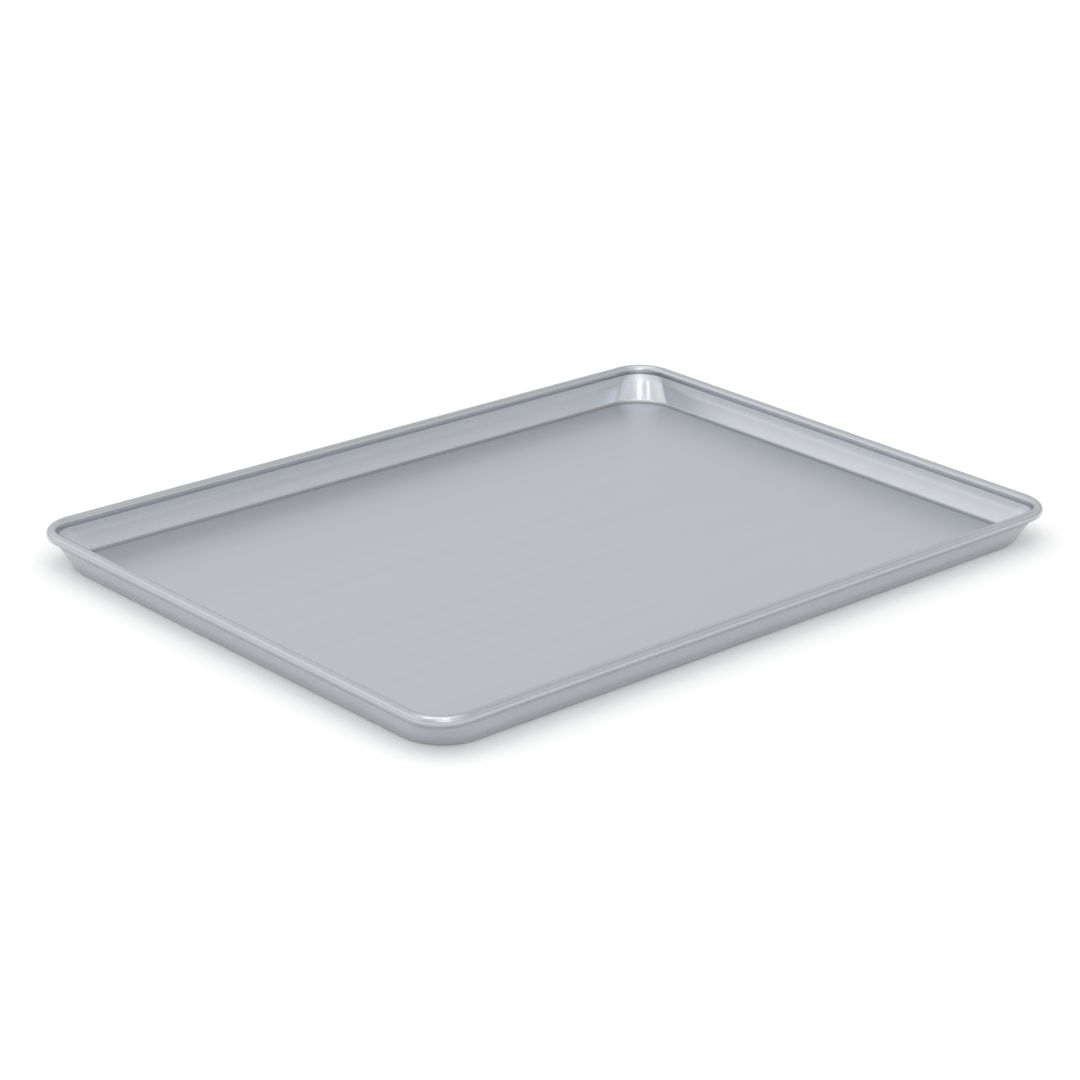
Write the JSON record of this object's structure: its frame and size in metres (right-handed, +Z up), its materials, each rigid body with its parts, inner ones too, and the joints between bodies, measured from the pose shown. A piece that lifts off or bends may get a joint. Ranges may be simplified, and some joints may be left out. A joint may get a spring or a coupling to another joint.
{
  "type": "sheet pan",
  "caption": "Shallow rectangular aluminium sheet pan with flared walls, rounded corners and a rim rolled over a steel wire, for baking and roasting.",
  "frame": {"origin": "on the ground under the middle of the pan", "axes": "+Z up; +X along the long sides; +Y across them, towards the side where the rim's wire ends meet"},
  "size_m": [0.546, 0.394, 0.0254],
  "materials": {
    "aluminium": "satin mill finish with a fine rolling grain",
    "galvanised_wire": "dull zinc coating"
  },
  "bodies": {
    "root": {"pan_body": "aluminium", "rim_rod": "galvanised_wire"}
  },
  "joints": []
}
